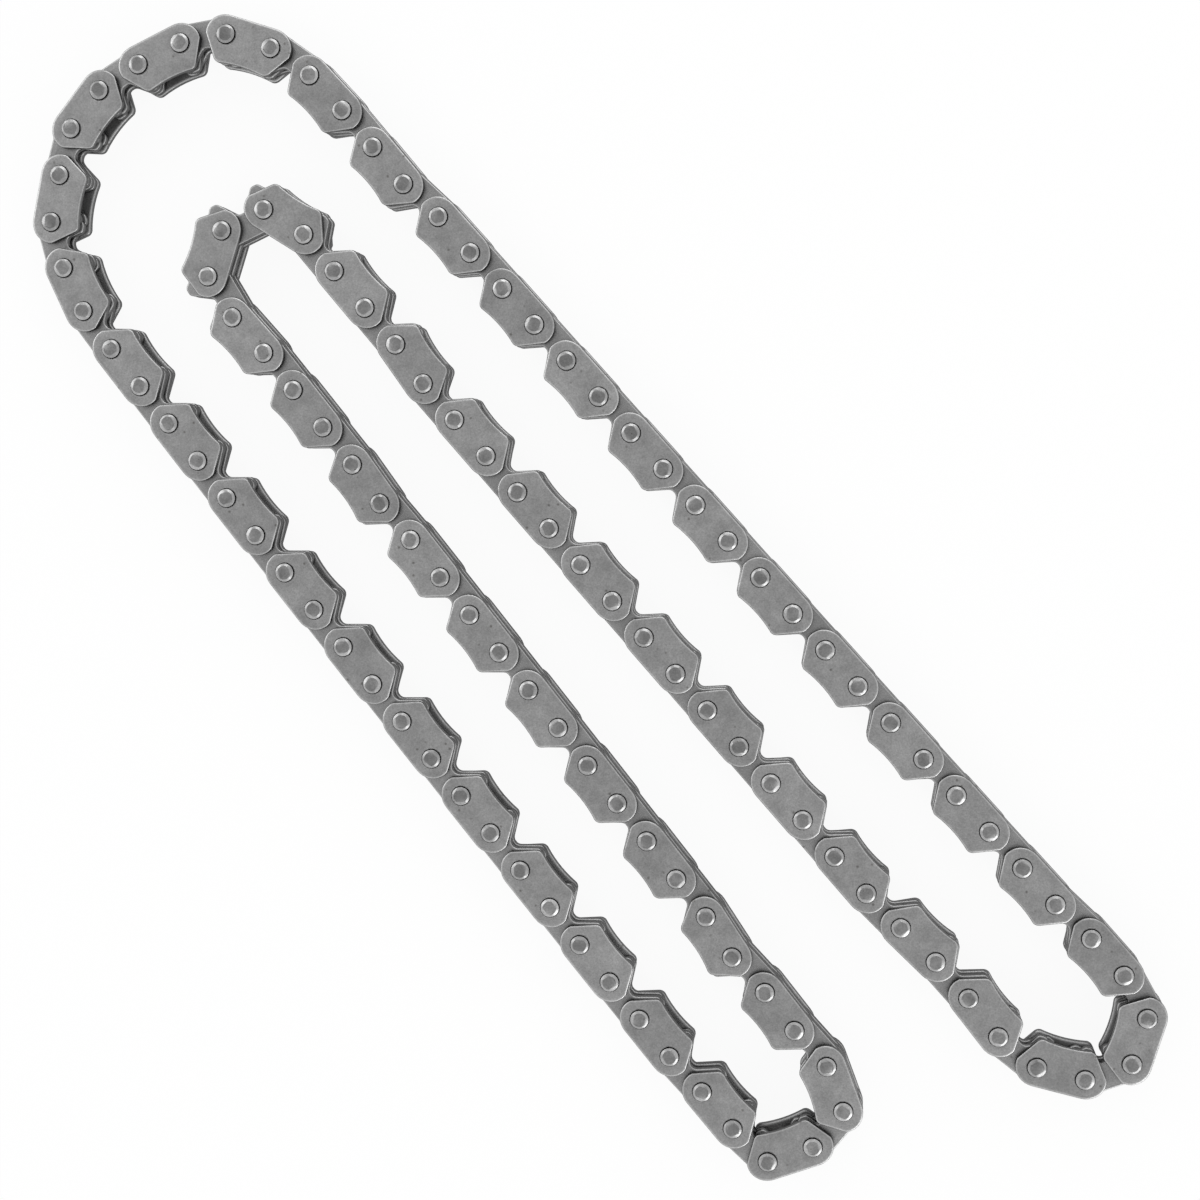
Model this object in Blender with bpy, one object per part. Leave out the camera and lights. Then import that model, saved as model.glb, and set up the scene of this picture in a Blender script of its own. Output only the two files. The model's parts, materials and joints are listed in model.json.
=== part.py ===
"""Silent timing chain: an endless inverted-tooth chain, laid on its side and folded in two."""

import math

import bmesh
import bpy
import numpy as np
from mathutils import Matrix

MM = 0.001

# Driving dimensions, in metres
PITCH = 6.35 * MM                # from pin to pin, a quarter of an inch

# Plate outlines are proportioned to the pitch, so that the plates mesh at any pitch
GUIDE_BACK = 0.4063 * PITCH      # from the pin line to a guide plate's flat back
GUIDE_EYE = 0.4409 * PITCH       # radius of a guide plate's round end about its pin
GUIDE_TIP_DEPTH = 0.5984 * PITCH  # from the pin line down to a guide plate's corner
GUIDE_TIP_OUT = 0.0709 * PITCH   # how far that corner lies outside its pin
GUIDE_BELLY_RISE = 0.0472 * PITCH  # hollow of the edge between the two corners
TOOTH_BACK = 0.3969 * PITCH      # from the pin line to a toothed plate's flat back
TOOTH_EYE = 0.4331 * PITCH       # radius of a toothed plate's round end about its pin
TOOTH_DEPTH = 0.5827 * PITCH     # from the pin line down to a tooth's tip
TOOTH_TIP_OUT = 0.0661 * PITCH   # how far the tip's outer corner lies outside its pin
TOOTH_TIP_WIDTH = 0.1260 * PITCH  # flat of a tooth's tip
CROTCH_DEPTH = 0.1654 * PITCH    # from the pin line down to the root between two teeth
CROTCH_WIDTH = 0.1575 * PITCH    # width of that root

GUIDE_THICKNESS = 1.00 * MM      # one guide plate
TOOTHED_THICKNESS = 1.10 * MM    # one toothed plate

PIN_RADIUS = 1.22 * MM
HEAD_HEIGHT = 0.40 * MM          # how far a pin end stands out of its guide plate
HEAD_LAND = 1.55 * MM            # side of the square land on a pin end

SIDE_GAP = 0.10 * MM             # running gap between plates that lie side by side
BORE_GAP = 0.08 * MM             # least running gap round a pin in its bore
PRESS_GAP = 0.03 * MM            # round a pin in a plate that it is pressed in
FUSE_DEPTH = 0.02 * MM           # how far a fixed link pack reaches into the guide plates

PIN_SIDES = 8
EYE_STEPS = 2                    # straight facets of a plate's round end
PACK_EYE_STEPS = 1               # the same of a link pack, whose ends the guide plates hide

# The lay: how many degrees the chain turns at its pins, to the left where positive.
# Each stretch names its first pin; pins that no stretch names go straight on.
ROWS = 112
FIRST_HEADING = -17.5            # of row 0, seen from above
STRETCHES = {
    "top bend, first half": (0, (-27, -17, -12, -3)),
    "kink": (5, (7, -5)),
    "right bend": (25, (4, -5, -13, -46, -52, -34, -25, -14, 4, 4, -1, -4)),
    "kink near the fold": (50, (-6, 5)),
    "inner fold": (54, (18, 57, 47, 49, 11, -3)),
    "kink below the fold": (62, (-3, 5, -2)),
    "bottom bend": (74, (-5, 10, -5, 4, -22, -59, -31, -63, -7, 3, -4)),
    "top bend, second half": (103, (-1, -12, -10, -26, -4, -23, -20, -6, -16)),
}

# First and last row of each rigid run; at every other row the chain is free to fold
RIGID_RUNS = [(2, 6), (8, 12), (14, 18), (20, 26), (32, 36), (38, 42), (44, 48), (50, 52),
              (58, 62), (64, 68), (70, 74), (82, 86), (88, 92), (94, 98), (100, 102)]
LAMINATED_ROWS = (55, 56, 57)    # rows whose plates and pins are all separate pieces
ROOT_ROW = ROWS - 4              # the guide row that the rest of the chain is followed from
OPEN_PIN = LAMINATED_ROWS[1]     # the pin where the two ends that are followed meet again

STEEL = {"metallic": 1.0, "roughness": 0.38}
PLATE_COLOUR = (0.36, 0.36, 0.37, 1.0)
LINK_COLOUR = (0.24, 0.24, 0.25, 1.0)
PIN_COLOUR = (0.45, 0.45, 0.46, 1.0)

# Heights above the middle of the chain's width
PACK_HALF = 1.5 * TOOTHED_THICKNESS + SIDE_GAP
GUIDE_INNER = PACK_HALF + SIDE_GAP
GUIDE_OUTER = GUIDE_INNER + GUIDE_THICKNESS
PIN_HALF = GUIDE_OUTER + HEAD_HEIGHT
BORE_RADIUS = (PIN_RADIUS + BORE_GAP) / math.cos(math.pi / PIN_SIDES)
PRESS_RADIUS = PIN_RADIUS + PRESS_GAP


# Lay of the pins

def pins_of(turns):
    """Where the pins lie, and each row's heading, for a turn at every pin."""
    headings = math.radians(FIRST_HEADING) + np.cumsum(turns) - turns[0]
    steps = PITCH * np.column_stack([np.cos(headings), np.sin(headings)])
    places = np.vstack([[0.0, 0.0], np.cumsum(steps, axis=0)])
    return places, headings


def closed_lay():
    """Pins and headings of the endless chain. What the lay misses is shared by all pins."""
    turns = np.zeros(ROWS)
    for first, degrees in STRETCHES.values():
        for step, degree in enumerate(degrees):
            turns[(first + step) % ROWS] = math.radians(degree)
    for _ in range(20):
        places, headings = pins_of(turns)
        miss = np.append(places[-1], (turns.sum() + 2 * math.pi) * PITCH)
        arms = places[-1] - places[1:-1]
        reach = np.zeros((3, ROWS))
        reach[0, 1:] = -arms[:, 1]
        reach[1, 1:] = arms[:, 0]
        reach[2, :] = PITCH
        turns = turns - np.linalg.lstsq(reach, miss, rcond=None)[0]
    places, headings = pins_of(turns)
    return places[:-1], headings


# Outlines of the plates, about the middle of the row, with the teeth downwards

def eye(radius, back, steps):
    """The right-hand round end, from the flat back round to the pin line, where the flank leaves it."""
    start = math.asin(back / radius)
    angles = [start * (1 - step / steps) for step in range(steps + 1)]
    return [(PITCH / 2 + radius * math.cos(a), radius * math.sin(a)) for a in angles]


def mirrored(right_half, middle):
    """A closed outline: the right half, from the back to the teeth, middle points and the left half."""
    return right_half + middle + [(-x, y) for x, y in reversed(right_half)]


def guide_outline():
    corner = (PITCH / 2 + GUIDE_TIP_OUT, -GUIDE_TIP_DEPTH)
    belly = (0.0, GUIDE_BELLY_RISE - GUIDE_TIP_DEPTH)
    return mirrored(eye(GUIDE_EYE, GUIDE_BACK, EYE_STEPS) + [corner], [belly])


def toothed_outline(steps=EYE_STEPS):
    tip = (PITCH / 2 + TOOTH_TIP_OUT, -TOOTH_DEPTH)
    tooth = [tip, (tip[0] - TOOTH_TIP_WIDTH, tip[1])]
    root = (CROTCH_WIDTH / 2, -CROTCH_DEPTH)
    return mirrored(eye(TOOTH_EYE, TOOTH_BACK, steps) + tooth + [root], [])


# Solids

def new_object(name, mesh, collection):
    thing = bpy.data.objects.new(name, mesh)
    collection.objects.link(thing)
    return thing


def solid_mesh(thing):
    """The evaluated mesh of an object as plain flat faces; the object is removed."""
    bpy.context.view_layer.update()
    evaluated = thing.evaluated_get(bpy.context.evaluated_depsgraph_get())
    mesh = bpy.data.meshes.new_from_object(evaluated)
    bm = bmesh.new()
    bm.from_mesh(mesh)
    bmesh.ops.remove_doubles(bm, verts=bm.verts, dist=1e-7)
    bmesh.ops.dissolve_limit(bm, angle_limit=math.radians(0.5), verts=bm.verts, edges=bm.edges)
    bm.to_mesh(mesh)
    bm.free()
    bpy.data.objects.remove(thing)
    return mesh


def plate_mesh(outline, low, high):
    """A flat plate of an outline, from height low to height high."""
    curve = bpy.data.curves.new("outline", "CURVE")
    curve.dimensions = "2D"
    curve.fill_mode = "BOTH"
    curve.extrude = (high - low) / 2
    spline = curve.splines.new("POLY")
    spline.points.add(len(outline) - 1)
    for point, (x, y) in zip(spline.points, outline):
        point.co = (x, y, 0.0, 1.0)
    spline.use_cyclic_u = True
    mesh = solid_mesh(new_object("outline", curve, work))
    mesh.transform(Matrix.Translation((0.0, 0.0, (low + high) / 2)))
    return mesh


def ring(radius, x):
    """The corners of a round section about a point x on the pin line."""
    angles = [math.pi * (2 * side + 1) / PIN_SIDES for side in range(PIN_SIDES)]
    return [(x + radius * math.cos(angle), radius * math.sin(angle)) for angle in angles]


def combined(meshes, operation="UNION"):
    """The first mesh joined with, or cut by, each of the others."""
    body = new_object("body", meshes[0].copy(), work)
    others = []
    for mesh in meshes[1:]:
        other = new_object("other", mesh, work)
        step = body.modifiers.new("step", "BOOLEAN")
        step.operation = operation
        step.solver = "EXACT"
        step.object = other
        others.append(other)
    mesh = solid_mesh(body)
    for other in others:
        bpy.data.objects.remove(other)
    return mesh


def moved(mesh, matrix):
    copy = mesh.copy()
    copy.transform(matrix)
    return copy


def material(name, colour):
    made = bpy.data.materials.new(name)
    made.use_nodes = True
    shader = made.node_tree.nodes["Principled BSDF"]
    shader.inputs["Base Color"].default_value = colour
    shader.inputs["Metallic"].default_value = STEEL["metallic"]
    shader.inputs["Roughness"].default_value = STEEL["roughness"]
    return made


# Pieces, each about the middle of its row

def pin_mesh(x):
    """One pin. Each end stands out of its guide plate and is staked in to a square land."""
    bm = bmesh.new()
    half = HEAD_LAND / 2
    land = [(x + half, half), (x - half, half), (x - half, -half), (x + half, -half)]
    for section, height in ((ring(PIN_RADIUS, x), GUIDE_OUTER), (land, PIN_HALF)):
        for along, across in section:
            bm.verts.new((along, across, height))
            bm.verts.new((along, across, -height))
    bmesh.ops.convex_hull(bm, input=bm.verts)
    bmesh.ops.dissolve_limit(bm, angle_limit=math.radians(0.5), verts=bm.verts, edges=bm.edges)
    mesh = bpy.data.meshes.new("pin")
    bm.to_mesh(mesh)
    bm.free()
    return mesh


def guide_plate_mesh(side):
    low, high = sorted((side * GUIDE_INNER, side * GUIDE_OUTER))
    return plate_mesh(guide_outline(), low, high)


def guide_row_mesh():
    """Two guide plates pressed on two pins."""
    return combined([guide_plate_mesh(1), guide_plate_mesh(-1), pin_mesh(-PITCH / 2), pin_mesh(PITCH / 2)])


def bored(plate, radius):
    """A plate with a round hole for each of its two pins."""
    holes = [plate_mesh(ring(radius, x), -PIN_HALF, PIN_HALF) for x in (-PITCH / 2, PITCH / 2)]
    return combined([plate] + holes, "DIFFERENCE")


def free_pack_mesh():
    """A link pack that turns on a pin at either end."""
    return bored(plate_mesh(toothed_outline(PACK_EYE_STEPS), -PACK_HALF, PACK_HALF), BORE_RADIUS)


def fixed_pack_mesh():
    """A link pack inside a rigid run, joined to the guide plates on both sides."""
    half = GUIDE_INNER + FUSE_DEPTH
    return plate_mesh(toothed_outline(PACK_EYE_STEPS), -half, half)


# Build

for thing in list(bpy.data.objects):
    bpy.data.objects.remove(thing)

chain = bpy.data.collections.new("timing_chain")
work = bpy.data.collections.new("work")
bpy.context.scene.collection.children.link(chain)
bpy.context.scene.collection.children.link(work)

pins, headings = closed_lay()
middles = pins + PITCH / 2 * np.column_stack([np.cos(headings), np.sin(headings)])
outlines = np.array(guide_outline() + toothed_outline())
reach = np.vstack([middle + outlines @ [[math.cos(h), math.sin(h)], [-math.sin(h), math.cos(h)]]
                   for middle, h in zip(middles, headings)])
centre = (reach.max(axis=0) + reach.min(axis=0)) / 2


def pivot_side(row):
    """1 where a row hangs on its first pin, -1 where it hangs on its last: the pin nearer the root row."""
    return 1 if row >= ROOT_ROW or row < OPEN_PIN else -1


def place_of(row):
    """Matrix that takes a piece from the origin to its row, its origin on the row's pivot."""
    pin = row if pivot_side(row) > 0 else (row + 1) % ROWS
    x, y = pins[pin] - centre
    return Matrix.Translation((x, y, PIN_HALF)) @ Matrix.Rotation(headings[row], 4, "Z")


def about_pivot(mesh, row):
    """A copy of a mesh that is centred on its row, shifted so that the row's pivot lies at the origin."""
    return moved(mesh, Matrix.Translation((pivot_side(row) * PITCH / 2, 0.0, 0.0)))


plate_steel = material("guide_plate_steel", PLATE_COLOUR)
link_steel = material("link_plate_steel", LINK_COLOUR)
pin_steel = material("pin_steel", PIN_COLOUR)


def add_piece(name, mesh, matrix, steel):
    piece = new_object(name, mesh, chain)
    piece.matrix_world = matrix
    if not mesh.materials:
        mesh.materials.append(steel)
    return piece


def add_guide_row_pieces(row):
    """The two guide plates, the middle plate and the two pins of a guide row."""
    for side, word in ((1, "front"), (-1, "back")):
        plate = bored(guide_plate_mesh(side), PRESS_RADIUS)
        add_piece(f"guide_plate_{word}", about_pivot(plate, row), place_of(row), plate_steel)
    middle = plate_mesh(toothed_outline(), -TOOTHED_THICKNESS / 2, TOOTHED_THICKNESS / 2)
    middle = bored(middle, PRESS_RADIUS)
    add_piece("middle_plate", about_pivot(middle, row), place_of(row), link_steel)
    for side, word in ((-1, "first"), (1, "second")):
        pin = about_pivot(pin_mesh(side * PITCH / 2), row)
        add_piece(f"pin_{word}", pin, place_of(row), pin_steel)


def add_link_row_pieces(row, name):
    """The two link plates of a link row, which leave the middle free."""
    for side, word in ((1, "front"), (-1, "back")):
        low, high = sorted((side * (PACK_HALF - TOOTHED_THICKNESS), side * PACK_HALF))
        link = bored(plate_mesh(toothed_outline(), low, high), BORE_RADIUS)
        add_piece(f"link_plate_{name}_{word}", about_pivot(link, row), place_of(row), link_steel)


guide_row = guide_row_mesh()
link_pack = free_pack_mesh()
fixed_pack = fixed_pack_mesh()
guide_rows = {side: moved(guide_row, Matrix.Translation((side * PITCH / 2, 0.0, 0.0))) for side in (1, -1)}
link_packs = {side: moved(link_pack, Matrix.Translation((side * PITCH / 2, 0.0, 0.0))) for side in (1, -1)}

for first, last in RIGID_RUNS:
    here = place_of(first if pivot_side(first) > 0 else last)
    rows = [moved(about_pivot(fixed_pack if row % 2 else guide_row, row), here.inverted() @ place_of(row))
            for row in range(first, last + 1)]
    add_piece(f"run_{first:03d}_{last:03d}", combined(rows), here, plate_steel)

add_link_row_pieces(LAMINATED_ROWS[0], "first")
add_guide_row_pieces(LAMINATED_ROWS[1])
add_link_row_pieces(LAMINATED_ROWS[2], "second")

for row in range(ROWS):
    if row in LAMINATED_ROWS or any(first <= row <= last for first, last in RIGID_RUNS):
        continue
    if row % 2:
        add_piece(f"link_pack_{row:03d}", link_packs[pivot_side(row)], place_of(row), link_steel)
    else:
        add_piece(f"guide_row_{row:03d}", guide_rows[pivot_side(row)], place_of(row), plate_steel)

bpy.data.collections.remove(work)
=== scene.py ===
"""A silent timing chain, laid on its side and folded in two: its plates, pins and studio."""
import json
import math
import re

import bmesh
import bpy
import numpy as np
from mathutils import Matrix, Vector


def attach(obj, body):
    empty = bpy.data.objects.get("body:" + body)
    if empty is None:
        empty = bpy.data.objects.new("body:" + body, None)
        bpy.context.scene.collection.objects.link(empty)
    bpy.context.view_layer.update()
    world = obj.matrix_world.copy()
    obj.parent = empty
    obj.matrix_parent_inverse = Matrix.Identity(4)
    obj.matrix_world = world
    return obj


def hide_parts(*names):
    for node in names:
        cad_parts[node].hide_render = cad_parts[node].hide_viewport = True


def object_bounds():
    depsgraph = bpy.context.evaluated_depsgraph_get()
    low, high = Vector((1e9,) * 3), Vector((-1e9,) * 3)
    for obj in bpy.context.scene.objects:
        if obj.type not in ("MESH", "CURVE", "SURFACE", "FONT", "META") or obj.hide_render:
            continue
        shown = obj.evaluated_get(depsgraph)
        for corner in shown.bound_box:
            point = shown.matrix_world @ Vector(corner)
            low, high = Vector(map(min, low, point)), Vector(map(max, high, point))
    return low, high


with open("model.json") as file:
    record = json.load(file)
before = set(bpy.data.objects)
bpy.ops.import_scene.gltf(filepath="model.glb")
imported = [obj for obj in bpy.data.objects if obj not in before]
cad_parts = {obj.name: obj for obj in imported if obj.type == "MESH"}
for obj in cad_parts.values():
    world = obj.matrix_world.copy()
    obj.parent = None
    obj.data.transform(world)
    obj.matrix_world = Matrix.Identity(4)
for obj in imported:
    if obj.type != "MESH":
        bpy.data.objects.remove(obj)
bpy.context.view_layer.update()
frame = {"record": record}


# The lay of the chain. 112 rows of plates are joined by 112 pins, a quarter of an inch apart,
# and the loop lies folded in two. The turning at each pin, in degrees, gives the places of all
# rows; what is left over when the loop closes is shared by all pins.
MM = 0.001
PITCH = 6.35 * MM
ROWS = 112
FIRST_HEADING = -17.5
STRETCHES = {
    "top bend, first half": (0, (-27, -17, -12, -3)),
    "kink": (5, (7, -5)),
    "right bend": (25, (4, -5, -13, -46, -52, -34, -25, -14, 4, 4, -1, -4)),
    "kink near the fold": (50, (-6, 5)),
    "inner fold": (54, (18, 57, 47, 49, 11, -3)),
    "kink below the fold": (62, (-3, 5, -2)),
    "bottom bend": (74, (-5, 10, -5, 4, -22, -59, -31, -63, -7, 3, -4)),
    "top bend, second half": (103, (-1, -12, -10, -26, -4, -23, -20, -6, -16)),
}
CLOSING_ROUNDS = 20
ANCHOR_PIN = 7                   # the pin whose place in the frame the whole lay is set to


def laid_pins(turns):
    """The places of all pins and the headings of all rows, followed from the first pin."""
    headings = math.radians(FIRST_HEADING) + np.cumsum(turns) - turns[0]
    steps = PITCH * np.column_stack([np.cos(headings), np.sin(headings)])
    return np.vstack([[0.0, 0.0], np.cumsum(steps, axis=0)]), headings


def closed_lay():
    """The lay with what the loop misses when it closes shared by all turns, least squares."""
    turns = np.zeros(ROWS)
    for first, degrees in STRETCHES.values():
        for step, degree in enumerate(degrees):
            turns[(first + step) % ROWS] = math.radians(degree)
    for _ in range(CLOSING_ROUNDS):
        places, headings = laid_pins(turns)
        miss = np.append(places[-1], (turns.sum() + 2 * math.pi) * PITCH)
        arms = places[-1] - places[1:-1]
        reach = np.zeros((3, ROWS))
        reach[0, 1:] = -arms[:, 1]
        reach[1, 1:] = arms[:, 0]
        reach[2, :] = PITCH
        turns = turns - np.linalg.lstsq(reach, miss, rcond=None)[0]
    places, headings = laid_pins(turns)
    return places[:-1], headings


pins, headings = closed_lay()
joints = frame["record"]["behaviour"]["joints"]
pivot = next(joint for joint in joints if joint["name"] == f"pivot_{ANCHOR_PIN:03d}")
pins = pins + np.array(pivot["pos_m"][:2]) - pins[ANCHOR_PIN]
mid_height = pivot["pos_m"][2]
middles = pins + PITCH / 2 * np.column_stack([np.cos(headings), np.sin(headings)])
body_nodes = frame["record"]["behaviour"]["bodies"]
body_rows = {}
for body in body_nodes:
    numbers = [int(number) for number in re.findall(r"\d+", body)]
    body_rows[body] = range(numbers[0], numbers[-1] + 1)


# Guide plates. The outer plates of every second row, stamped from 1 mm carbon steel strip,
# hardened, tumbled to a dull satin and pressed on the pins. The stamping leaves a rounded
# edge, a flat back, two round eyes, straight flanks and a belly that is a little hollow.
GUIDE_THICKNESS = 1.00 * MM
GUIDE_HEIGHT = 2.35 * MM         # of its middle above the middle of the chain's width
GUIDE_BACK = 2.58 * MM
GUIDE_EYE = 2.80 * MM
FLANK_START = -13                # degrees below the pin line at which the round end meets the flank
GUIDE_TIP = (0.45 * MM, -3.80 * MM)
GUIDE_BELLY_RISE = 0.30 * MM
GUIDE_CORNER = 1.00 * MM         # radius of a tip's corner
GUIDE_ROLL = 0.40 * MM           # width of the rounding that stamping leaves along an edge
ROLL_DEPTH = 0.17 * MM           # how far that rounding drops
HOLE_ROLL = 0.12 * MM            # its width round a hole
PIN_RADIUS = 1.22 * MM
HOLE_GAP = 0.06 * MM             # between a pin and the hole round it
SHARP_PLATE = 50                 # degrees between faces from which a plate's edge is sharp


def arc(centre, radius, start, end, steps, height=None):
    """Points on an arc, with its angles in degrees; an ellipse where a height is given."""
    angles = np.radians(np.linspace(start, end, steps + 1))
    height = height or radius
    return [(centre[0] + radius * math.cos(a), centre[1] + height * math.sin(a)) for a in angles]


def rounded(points, radii, steps=4):
    """A polygon, its corners replaced by arcs of the given radii."""
    out = []
    count = len(points)
    for index, radius in enumerate(radii):
        here = np.array(points[index])
        if radius <= 0:
            out.append(tuple(here))
            continue
        before = np.array(points[index - 1]) - here
        after = np.array(points[(index + 1) % count]) - here
        before /= np.linalg.norm(before)
        after /= np.linalg.norm(after)
        half = math.acos(max(-1.0, min(1.0, float(before @ after)))) / 2
        reach = radius / math.tan(half)
        middle = here + (before + after) / np.linalg.norm(before + after) * radius / math.sin(half)
        a = here + before * reach - middle
        b = here + after * reach - middle
        start = math.atan2(a[1], a[0])
        sweep = (math.atan2(b[1], b[0]) - start + math.pi) % (2 * math.pi) - math.pi
        for step in range(steps + 1):
            angle = start + sweep * step / steps
            out.append((middle[0] + radius * math.cos(angle), middle[1] + radius * math.sin(angle)))
    return out


def mirrored(right_half):
    """A closed outline from its right half, which runs from the back to the teeth."""
    return right_half + [(-x, y) for x, y in reversed(right_half)]


def guide_outline():
    """A guide plate's outline about its row's middle: back, round ends, flanks and belly."""
    shoulder = arc((PITCH / 2, 0.0), GUIDE_EYE, 90, FLANK_START, 10, GUIDE_BACK)
    tip = (PITCH / 2 + GUIDE_TIP[0], GUIDE_TIP[1])
    corner = rounded([shoulder[-1], tip, (0.0, GUIDE_TIP[1])], [0, GUIDE_CORNER, 0])[1:-1]
    belly = []
    span = corner[-1][0]
    for step in range(1, 4):
        x = span * (1 - step / 3.5)
        belly.append((x, corner[-1][1] + GUIDE_BELLY_RISE * (1 - (x / span) ** 2)))
    return mirrored(shoulder + corner + belly)


def flatten_rolls(vertices, straight, roll, depth):
    """Turns a round edge above the straight part of a wall into a wide and shallow one."""
    for vertex in vertices:
        beyond = abs(vertex.co.z) - straight
        if beyond > 0:
            vertex.co.z = math.copysign(straight + beyond * depth / roll, vertex.co.z)


def hidden_pattern(name, mesh, sharp):
    """A piece's pattern, which only lends its mesh; edges from the sharp angle on stay crisp."""
    mesh.set_sharp_from_angle(angle=math.radians(sharp))
    pattern = bpy.data.objects.new(name, mesh)
    bpy.context.scene.collection.objects.link(pattern)
    pattern.hide_render = True
    return pattern


def plate_object(name, outline, thickness, hole_radius, roll):
    """A stamped plate about its row's middle, with rolled edges and a hole for each pin."""
    curve = bpy.data.curves.new(name, "CURVE")
    curve.dimensions = "2D"
    curve.fill_mode = "BOTH"
    curve.bevel_depth = roll
    curve.bevel_resolution = 3
    curve.offset = -roll
    curve.extrude = thickness / 2 - ROLL_DEPTH
    holes = [arc((side * PITCH / 2, 0.0), hole_radius, 0, 330, 11) for side in (-1, 1)]
    for points in [outline] + holes:
        spline = curve.splines.new("POLY")
        spline.points.add(len(points) - 1)
        for point, (x, y) in zip(spline.points, points):
            point.co = (x, y, 0.0, 1.0)
        spline.use_cyclic_u = True
    drawn = bpy.data.objects.new(name, curve)
    bpy.context.scene.collection.objects.link(drawn)
    bpy.context.view_layer.update()
    depsgraph = bpy.context.evaluated_depsgraph_get()
    mesh = bpy.data.meshes.new_from_object(drawn.evaluated_get(depsgraph))
    bpy.data.objects.remove(drawn)
    flatten_rolls(mesh.vertices, thickness / 2 - ROLL_DEPTH, roll, ROLL_DEPTH)
    for vertex in mesh.vertices:
        eye = Vector((math.copysign(PITCH / 2, vertex.co.x), 0.0))
        away = vertex.co.xy - eye
        if away.length < hole_radius + roll * 1.01:
            reach = hole_radius + (away.length - hole_radius) * HOLE_ROLL / roll
            vertex.co.xy = eye + away.normalized() * reach
    bm = bmesh.new()
    bm.from_mesh(mesh)
    bmesh.ops.remove_doubles(bm, verts=bm.verts, dist=1e-7)
    bmesh.ops.recalc_face_normals(bm, faces=bm.faces)
    bm.to_mesh(mesh)
    bm.free()
    for polygon in mesh.polygons:
        polygon.use_smooth = abs(polygon.normal.z) < 0.999
    return hidden_pattern(name, mesh, SHARP_PLATE)


def linear(hex_colour):
    """A sRGB hex colour as linear values with alpha."""
    values = [int(hex_colour[i:i + 2], 16) / 255 for i in (0, 2, 4)]
    linearised = [v / 12.92 if v <= 0.04045 else ((v + 0.055) / 1.055) ** 2.4 for v in values]
    return (*linearised, 1.0)


def grey(value):
    """A linear grey with alpha."""
    return (value, value, value, 1.0)


def node(tree, kind, settings=None, inputs=None, links=None, stops=None):
    """Adds a node with its settings, input values, feeding sockets and a colour ramp's stops."""
    made = tree.nodes.new(kind)
    for name, value in (settings or {}).items():
        setattr(made, name, value)
    for name, value in (inputs or {}).items():
        made.inputs[name].default_value = value
    for name, source in (links or {}).items():
        tree.links.new(source, made.inputs[name])
    if stops:
        elements = made.color_ramp.elements
        elements.remove(elements[1])
        elements[0].position, elements[0].color = stops[0]
        for position, colour in stops[1:]:
            elements.new(position).color = colour
    return made


CLOUD_SIZE = 2.4 * MM            # of the lighter and darker clouds that tumbling leaves
GRAIN_SIZE = 0.20 * MM           # the real grain is finer and is drawn as coarse as it has to show
GRAIN_DEPTH = 0.01 * MM
SPECK_SIZE = 0.55 * MM
SHADE_REACH = 0.4 * MM             # how far out of a corner the painted shade reaches


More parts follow.
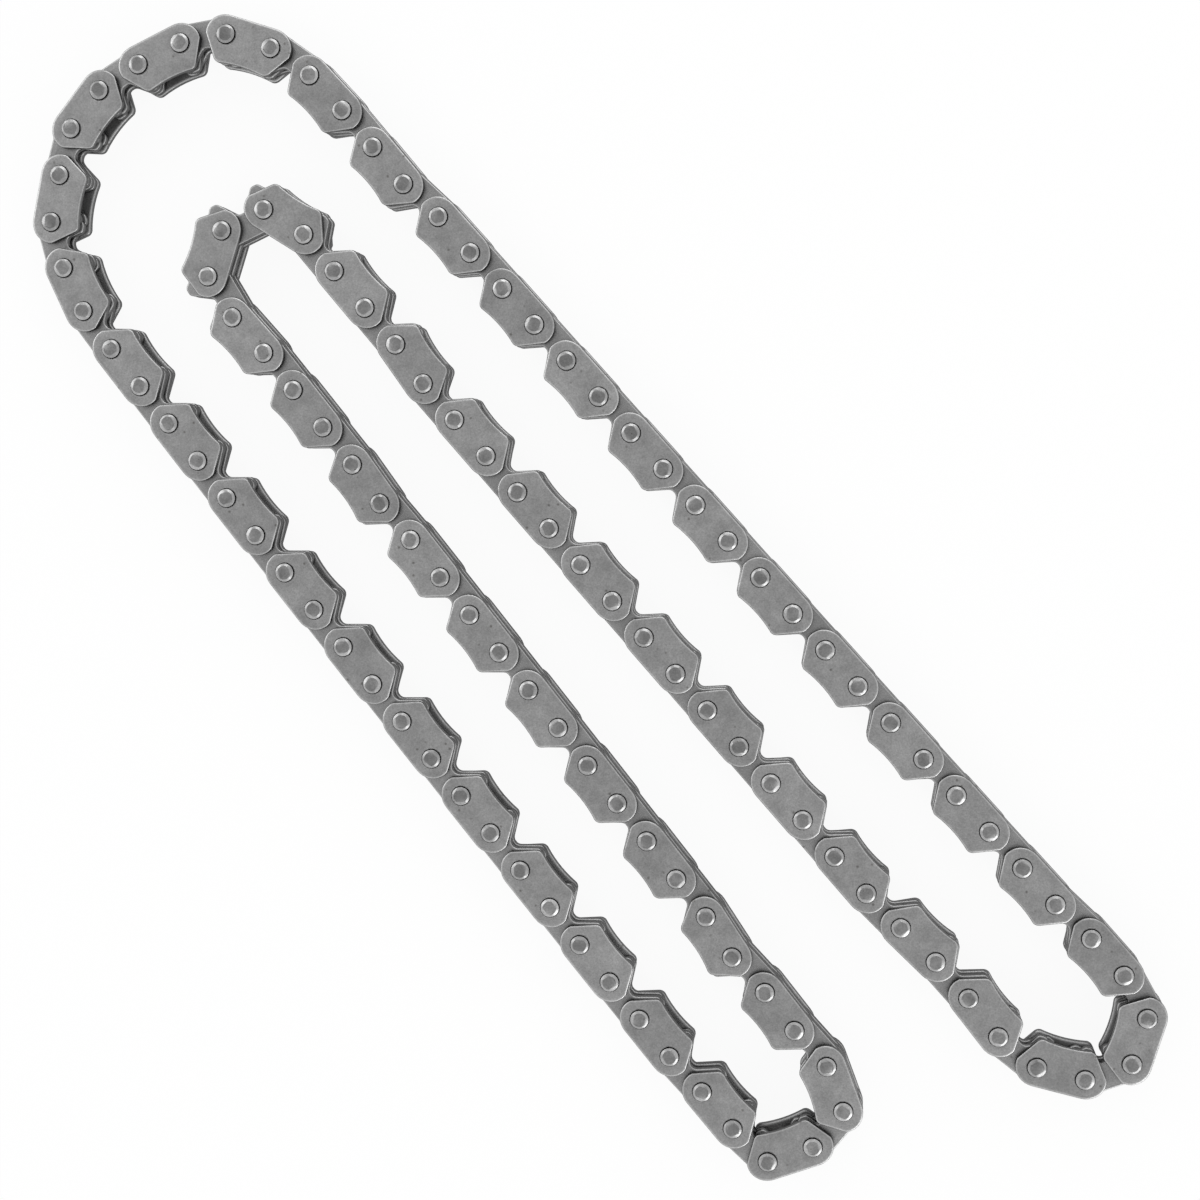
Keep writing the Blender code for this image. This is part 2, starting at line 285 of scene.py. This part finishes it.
def tumbled_steel(name, dark, mid, light, rough, speck_size=SPECK_SIZE, painted_face_shade=0.86):
    """Tumbled carbon steel: satin faces, painted highlights on rims, painted shade on walls and in
    recesses.
    """
    material = bpy.data.materials.new(name)
    material.use_nodes = True
    tree = material.node_tree
    shader = tree.nodes["Principled BSDF"]
    shader.inputs["Metallic"].default_value = 1.0
    place = node(tree, "ShaderNodeTexCoord").outputs["Object"]
    tone = node(tree, "ShaderNodeAttribute", {"attribute_name": "plate_tone"}).outputs["Fac"]

    # clouds, grain and specks, and a shade of its own for every plate
    clouds = node(tree, "ShaderNodeTexNoise", {"noise_dimensions": "4D"},
                  {"Scale": 1 / CLOUD_SIZE, "Detail": 4.0, "Roughness": 0.6},
                  {"Vector": place, "W": tone}).outputs["Fac"]
    grain = node(tree, "ShaderNodeTexNoise", None,
                 {"Scale": 1 / GRAIN_SIZE, "Detail": 3.0, "Roughness": 0.7},
                 {"Vector": place}).outputs["Fac"]
    specks = node(tree, "ShaderNodeTexVoronoi", {"feature": "F1"},
                  {"Scale": 1 / (4 * speck_size)}, {"Vector": place}).outputs["Distance"]
    clouded = node(tree, "ShaderNodeValToRGB", links={"Fac": clouds}, stops=[
        (0.30, linear(dark)), (0.50, linear(mid)), (0.72, linear(light))]).outputs["Color"]
    grain_tone = node(tree, "ShaderNodeValToRGB", links={"Fac": grain}, stops=[
        (0.30, grey(0.66)), (0.70, grey(1.0))]).outputs["Color"]
    speck_tone = node(tree, "ShaderNodeValToRGB", links={"Fac": specks}, stops=[
        (0.04, linear("A09C98")), (0.11, grey(1.0))]).outputs["Color"]
    shade = node(tree, "ShaderNodeMapRange", None, {"To Min": 0.90, "To Max": 1.06},
                 {"Value": tone}).outputs["Result"]

    # painted shade on walls and flat faces, painted highlights on rims, painted shade where plates
    # meet
    normal = node(tree, "ShaderNodeTexCoord").outputs["Normal"]
    facing = node(tree, "ShaderNodeSeparateXYZ", links={"Vector": normal}).outputs["Z"]
    level = node(tree, "ShaderNodeMath", {"operation": "ABSOLUTE"}, links={0: facing}).outputs[0]
    facing_shade_and_highlight = node(tree, "ShaderNodeValToRGB", links={"Fac": level}, stops=[
        (0.45, grey(0.38)), (0.70, grey(0.62)), (0.88, grey(1.0)), (0.94, grey(1.0)),
        (0.985, grey(painted_face_shade))]).outputs["Color"]
    # painted shade in corners and gaps between plates, the darker the more closed in they are
    recess = node(tree, "ShaderNodeAmbientOcclusion", {"samples": 8},
                  {"Distance": SHADE_REACH}).outputs["AO"]
    painted_recess_shade = node(tree, "ShaderNodeValToRGB", links={"Fac": recess}, stops=[
        (0.12, grey(0.20)), (0.62, grey(1.0))]).outputs["Color"]

    colour = clouded
    for tint, share in ((grain_tone, 1.0), (speck_tone, 0.7), (shade, 1.0), (facing_shade_and_highlight, 1.0),
                        (painted_recess_shade, 1.0)):
        colour = node(tree, "ShaderNodeMix", {"data_type": "RGBA", "blend_type": "MULTIPLY"},
                      {0: share}, {6: colour, 7: tint}).outputs[2]
    tree.links.new(colour, shader.inputs["Base Color"])
    # the painted shade and highlights tint the steel's reflections too
    tree.links.new(facing_shade_and_highlight, shader.inputs["Specular Tint"])

    roughness = node(tree, "ShaderNodeMapRange", None,
                     {"To Min": rough - 0.06, "To Max": rough + 0.08},
                     {"Value": clouds}).outputs["Result"]
    wear = node(tree, "ShaderNodeMapRange", None,
                {"From Min": 0.96, "From Max": 0.85, "To Min": 1.0, "To Max": 0.75},
                {"Value": level}).outputs["Result"]
    worn = node(tree, "ShaderNodeMath", {"operation": "MULTIPLY"}, links={0: roughness, 1: wear})
    tree.links.new(worn.outputs[0], shader.inputs["Roughness"])
    bump = node(tree, "ShaderNodeBump", None, {"Strength": 0.14, "Distance": GRAIN_DEPTH},
                {"Height": grain})
    tree.links.new(bump.outputs["Normal"], shader.inputs["Normal"])
    return material


def plates_tree(name):
    """Geometry Nodes that stand a piece on every point, turned to its heading, in its own tone."""
    tree = bpy.data.node_groups.new(name, "GeometryNodeTree")
    for socket, direction, kind in (("Geometry", "INPUT", "NodeSocketGeometry"),
                                    ("Stamped Piece", "INPUT", "NodeSocketObject"),
                                    ("Steel", "INPUT", "NodeSocketMaterial"),
                                    ("Seed", "INPUT", "NodeSocketInt"),
                                    ("Geometry", "OUTPUT", "NodeSocketGeometry")):
        tree.interface.new_socket(socket, in_out=direction, socket_type=kind)
    given = node(tree, "NodeGroupInput").outputs
    piece = node(tree, "GeometryNodeObjectInfo", links={"Object": given["Stamped Piece"]})
    heading = node(tree, "GeometryNodeInputNamedAttribute", {"data_type": "FLOAT"},
                   {"Name": "heading"})
    turn = node(tree, "ShaderNodeCombineXYZ", links={"Z": heading.outputs["Attribute"]})
    stood = node(tree, "GeometryNodeInstanceOnPoints", links={
        "Points": given["Geometry"], "Instance": piece.outputs["Geometry"],
        "Rotation": turn.outputs["Vector"]})
    tone = node(tree, "FunctionNodeRandomValue", {"data_type": "FLOAT"},
                links={"Seed": given["Seed"]})
    toned = node(tree, "GeometryNodeStoreNamedAttribute",
                 {"data_type": "FLOAT", "domain": "INSTANCE"}, {"Name": "plate_tone"},
                 {"Geometry": stood.outputs["Instances"], "Value": tone.outputs[1]})
    real = node(tree, "GeometryNodeRealizeInstances",
                links={"Geometry": toned.outputs["Geometry"]})
    steel = node(tree, "GeometryNodeSetMaterial",
                 links={"Geometry": real.outputs["Geometry"], "Material": given["Steel"]})
    node(tree, "NodeGroupOutput", links={"Geometry": steel.outputs["Geometry"]})
    return tree


def stood_pieces(name, tree, points, turns, stamped, steel, seed):
    """One mesh of a stamped piece repeated at points, each turned by its own angle."""
    mesh = bpy.data.meshes.new(name)
    mesh.from_pydata([tuple(point) for point in points], [], [])
    mesh.attributes.new("heading", "FLOAT", "POINT").data.foreach_set("value", turns)
    drawn = bpy.data.objects.new(name, mesh)
    bpy.context.scene.collection.objects.link(drawn)
    modifier = drawn.modifiers.new("pieces", "NODES")
    modifier.node_group = tree
    sockets = {item.name: item.identifier for item in tree.interface.items_tree
               if item.in_out == "INPUT"}
    modifier[sockets["Stamped Piece"]] = stamped
    modifier[sockets["Steel"]] = steel
    modifier[sockets["Seed"]] = seed
    bpy.context.view_layer.update()
    depsgraph = bpy.context.evaluated_depsgraph_get()
    done = bpy.data.meshes.new_from_object(
        drawn.evaluated_get(depsgraph), preserve_all_data_layers=True, depsgraph=depsgraph)
    drawn.modifiers.clear()
    drawn.data = done
    return drawn


guide_steel = tumbled_steel("tumbled_guide_plate_steel", "BDBDBD", "CACACA", "D6D6D6", 0.38)
guide_plate = plate_object("guide_plate_pattern", guide_outline(), GUIDE_THICKNESS,
                           PIN_RADIUS + HOLE_GAP, GUIDE_ROLL)
plates = plates_tree("plates_on_rows")
for body, rows in body_rows.items():
    guide_rows = [row for row in rows if row % 2 == 0]
    if not guide_rows:
        continue
    points = [(*middles[row], mid_height + height)
              for row in guide_rows for height in (GUIDE_HEIGHT, -GUIDE_HEIGHT)]
    turns = [headings[row] for row in guide_rows for _ in range(2)]
    piece = stood_pieces(f"guide_plates_{rows[0]:03d}", plates, points, turns, guide_plate,
                         guide_steel, rows[0])
    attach(piece, body)
    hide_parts(*[name for name in body_nodes[body]
                         if not name.startswith(("middle", "pin"))])


# Toothed plates. Two in every link row, which turn on the pins, and one in the middle of every
# guide row, pressed on them. They are stamped from 1.1 mm strip with two rounded teeth and an
# arched root between them; their steel is painted darker, as painted shade under the guide plates.
TOOTHED_THICKNESS = 1.10 * MM
LINK_HEIGHT = 1.20 * MM          # of a link plate's middle above the middle of the chain's width
TOOTH_BACK = 2.52 * MM
TOOTH_EYE = 2.75 * MM
TOOTH_TIP = (0.45 * MM, -3.71 * MM)
TOOTH_INNER = 0.62 * MM          # from a pin's axis in to the tooth's inner corner
TOOTH_ROUND = 0.72 * MM
TOOTHED_ROLL = 0.24 * MM
ROOT_DEPTH = 1.05 * MM
ROOT_ROUND = 0.95 * MM
ROOT_ARC = (38, 78)              # degrees, from the tooth's flank to near the middle
LINK_SEEDS = 500


def toothed_outline():
    """A toothed plate's outline about its row's middle: back, round ends, teeth and root."""
    shoulder = arc((PITCH / 2, 0.0), TOOTH_EYE, 90, FLANK_START, 8, TOOTH_BACK)
    outer = (PITCH / 2 + TOOTH_TIP[0], TOOTH_TIP[1])
    inner = (PITCH / 2 - TOOTH_INNER, TOOTH_TIP[1])
    flank = math.radians(ROOT_ARC[0])
    root_centre = (0.0, -ROOT_DEPTH - ROOT_ROUND)
    leave = (ROOT_ROUND * math.cos(flank), root_centre[1] + ROOT_ROUND * math.sin(flank))
    tooth = rounded([shoulder[-1], outer, inner, leave], [0, TOOTH_ROUND, TOOTH_ROUND, 0])[1:-1]
    root = arc(root_centre, ROOT_ROUND, *ROOT_ARC, 3)
    return mirrored(shoulder + tooth + root)


# its colours are darker than the guide plates' steel: painted shade of the guide plates over it
link_steel = tumbled_steel("tumbled_toothed_plate_steel", "B6B6B6", "C3C3C3", "CECECE", 0.38)
toothed_plate = plate_object("toothed_plate_pattern", toothed_outline(), TOOTHED_THICKNESS,
                             PIN_RADIUS + HOLE_GAP, TOOTHED_ROLL)
for body, rows in body_rows.items():
    points = []
    turns = []
    for row in rows:
        for height in ((LINK_HEIGHT, -LINK_HEIGHT) if row % 2 else (0.0,)):
            points.append((*middles[row], mid_height + height))
            turns.append(headings[row])
    piece = stood_pieces(f"toothed_plates_{rows[0]:03d}", plates, points, turns, toothed_plate,
                         link_steel, LINK_SEEDS + rows[0])
    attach(piece, body)
    if any(name.startswith("middle") for name in body_nodes[body]):
        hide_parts("middle_plate")
    elif rows[0] % 2 and len(rows) == 1:
        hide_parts(*body_nodes[body])


# Pins. Ground steel bars through all five layers, pressed in the guide plates. Each end stands
# out of its plate and is staked with a square punch that never hits quite true, which leaves
# four uneven crescents round a duller land, which is also painted darker: painted shade.
PIN_HALF = 3.25 * MM
PIN_RIM = 0.30 * MM
RIM_DEPTH = 0.20 * MM
CRESCENTS = (                    # how far from the axis each one starts, and its slope in degrees
    (0.70 * MM, 22),
    (0.94 * MM, 30),
    (0.78 * MM, 24),
    (0.97 * MM, 34),
)
FAR_END_TURN = 0.4               # radians from one end's staking to the other's
STAKING_TURN = 2.399963          # radians from one pin's staking to the next one's
PIN_SIDES = 24
SHARP_PIN = 24                   # degrees between faces from which a pin's edge is sharp
PIN_SEEDS = 900


def pin_object():
    """A round pin about its middle, upright, with flattened rims and four crescents per end."""
    straight = PIN_HALF - RIM_DEPTH
    bm = bmesh.new()
    bmesh.ops.create_cone(bm, cap_ends=True, segments=PIN_SIDES, radius1=PIN_RADIUS,
                          radius2=PIN_RADIUS, depth=2 * (straight + PIN_RIM))
    rims = [edge for edge in bm.edges if abs(edge.verts[0].co.z - edge.verts[1].co.z) < 1e-9]
    bmesh.ops.bevel(bm, geom=rims, offset=PIN_RIM, segments=1, affect="EDGES")
    flatten_rolls(bm.verts, straight, PIN_RIM, RIM_DEPTH)
    for end in (1, -1):
        for quarter, (reach, degrees) in enumerate(CRESCENTS):
            slope = math.radians(degrees)
            angle = math.pi / 2 * quarter + (FAR_END_TURN if end < 0 else 0.0)
            out = Vector((math.cos(angle), math.sin(angle), 0.0))
            normal = out * math.sin(slope) + Vector((0, 0, end)) * math.cos(slope)
            point = out * reach + Vector((0, 0, end * PIN_HALF))
            cut = bmesh.ops.bisect_plane(bm, geom=bm.verts[:] + bm.edges[:] + bm.faces[:],
                                         dist=1e-8, plane_co=point, plane_no=normal,
                                         clear_outer=True)
            edges = [item for item in cut["geom_cut"] if isinstance(item, bmesh.types.BMEdge)]
            bmesh.ops.contextual_create(bm, geom=edges)
    bmesh.ops.recalc_face_normals(bm, faces=bm.faces)
    mesh = bpy.data.meshes.new("pin_pattern")
    bm.to_mesh(mesh)
    bm.free()
    for polygon in mesh.polygons:
        polygon.use_smooth = True
    return hidden_pattern("pin_pattern", mesh, SHARP_PIN)


# the flat land of each end is painted darker than its crescents: painted shade
pin_steel = tumbled_steel("staked_pin_steel", "A8A8A8", "BCBCBC", "D2D2D2", 0.38,
                          speck_size=0.3 * MM, painted_face_shade=0.74)
pin_pattern = pin_object()
for body, rows in body_rows.items():
    pressed = sorted({pin % ROWS for row in rows if row % 2 == 0 for pin in (row, row + 1)})
    if not pressed:
        continue
    points = [(*pins[pin], mid_height) for pin in pressed]
    turns = [(pin * STAKING_TURN) % (2 * math.pi) for pin in pressed]
    piece = stood_pieces(f"pins_{pressed[0]:03d}", plates, points, turns, pin_pattern, pin_steel,
                         PIN_SEEDS + rows[0])
    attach(piece, body)
    if any(name.startswith("pin") for name in body_nodes[body]):
        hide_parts("pin_first", "pin_second")

for pattern in (guide_plate, toothed_plate, pin_pattern):
    bpy.data.objects.remove(pattern)


# The studio. A matt white table, a broad soft light overhead that is darker than the bright
# walls round it, so that the plates' faces stay grey and their rounded edges shine.
TABLE_GLOW = 0.92                # share of even white that the camera and the steel see
TABLE_HALF = 3.0
TABLE_GAP = 0.02 * MM

table_paint = bpy.data.materials.new("matt_white_table")
table_paint.use_nodes = True
paint = table_paint.node_tree
matt = paint.nodes["Principled BSDF"]
matt.inputs["Base Color"].default_value = linear("FFFFFF")
matt.inputs["Roughness"].default_value = 0.9
matt.inputs["Specular IOR Level"].default_value = 0.2
ray = node(paint, "ShaderNodeLightPath").outputs
seen = node(paint, "ShaderNodeMath", {"operation": "ADD"},
            links={0: ray["Is Camera Ray"], 1: ray["Is Glossy Ray"]}).outputs[0]
seen = node(paint, "ShaderNodeMath", {"operation": "ADD"},
            links={0: seen, 1: ray["Is Transmission Ray"]}).outputs[0]
share = node(paint, "ShaderNodeMath", {"operation": "MULTIPLY"}, {1: TABLE_GLOW}, {0: seen})
glow = node(paint, "ShaderNodeEmission", None, {"Strength": 1.0})
mixed = node(paint, "ShaderNodeMixShader",
             links={0: share.outputs[0], 1: matt.outputs["BSDF"], 2: glow.outputs["Emission"]})
paint.links.new(mixed.outputs["Shader"], paint.nodes["Material Output"].inputs["Surface"])
floor_mesh = bpy.data.meshes.new("table")
corners = [(x * TABLE_HALF, y * TABLE_HALF, 0) for x, y in ((-1, -1), (1, -1), (1, 1), (-1, 1))]
floor_mesh.from_pydata(corners, [], [(0, 1, 2, 3)])
floor_mesh.materials.append(table_paint)
table = bpy.data.objects.new("table", floor_mesh)
bpy.context.scene.collection.objects.link(table)
table.location.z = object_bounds()[0][2] - TABLE_GAP


def softbox(name, place, size, power):
    """A rectangular area light that is aimed at the middle of the table."""
    light = bpy.data.lights.new(name, "AREA")
    light.shape = "RECTANGLE"
    light.size, light.size_y = size
    light.energy = power
    lamp = bpy.data.objects.new(name, light)
    bpy.context.scene.collection.objects.link(lamp)
    lamp.location = place
    lamp.rotation_euler = (-Vector(place)).to_track_quat("-Z", "Y").to_euler()


softbox("left_wall_light", (-0.55, 0.25, 0.22), (0.5, 0.3), 0.6)
softbox("far_wall_light", (0.12, 0.62, 0.22), (0.6, 0.3), 0.9)
softbox("near_wall_light", (0.40, -0.50, 0.22), (0.5, 0.3), 1.1)

world = bpy.data.worlds.new("studio_walls")
bpy.context.scene.world = world
world.use_nodes = True
walls = world.node_tree
direction = node(walls, "ShaderNodeTexCoord").outputs["Generated"]
height = node(walls, "ShaderNodeSeparateXYZ", links={"Vector": direction}).outputs["Z"]
gradient = node(walls, "ShaderNodeValToRGB", links={"Fac": height},
                stops=[(0.55, grey(1.0)), (0.95, grey(0.52))]).outputs["Color"]
background = walls.nodes["Background"]
walls.links.new(gradient, background.inputs["Color"])
background.inputs["Strength"].default_value = 1.0

# The camera looks almost straight down from 28 cm above the chain, as the photograph does.
camera = bpy.data.cameras.new("camera")
camera.sensor_width = 36.0
camera.lens = 63.6
camera.clip_start = 0.01
viewer = bpy.data.objects.new("camera", camera)
bpy.context.scene.collection.objects.link(viewer)
viewer.location = (33.31 * MM, 18.64 * MM, 282.98 * MM)
viewer.rotation_euler = [math.radians(angle) for angle in (-3.749, 6.609, 0.422)]
bpy.context.scene.camera = viewer
bpy.context.scene.view_settings.view_transform = "Standard"
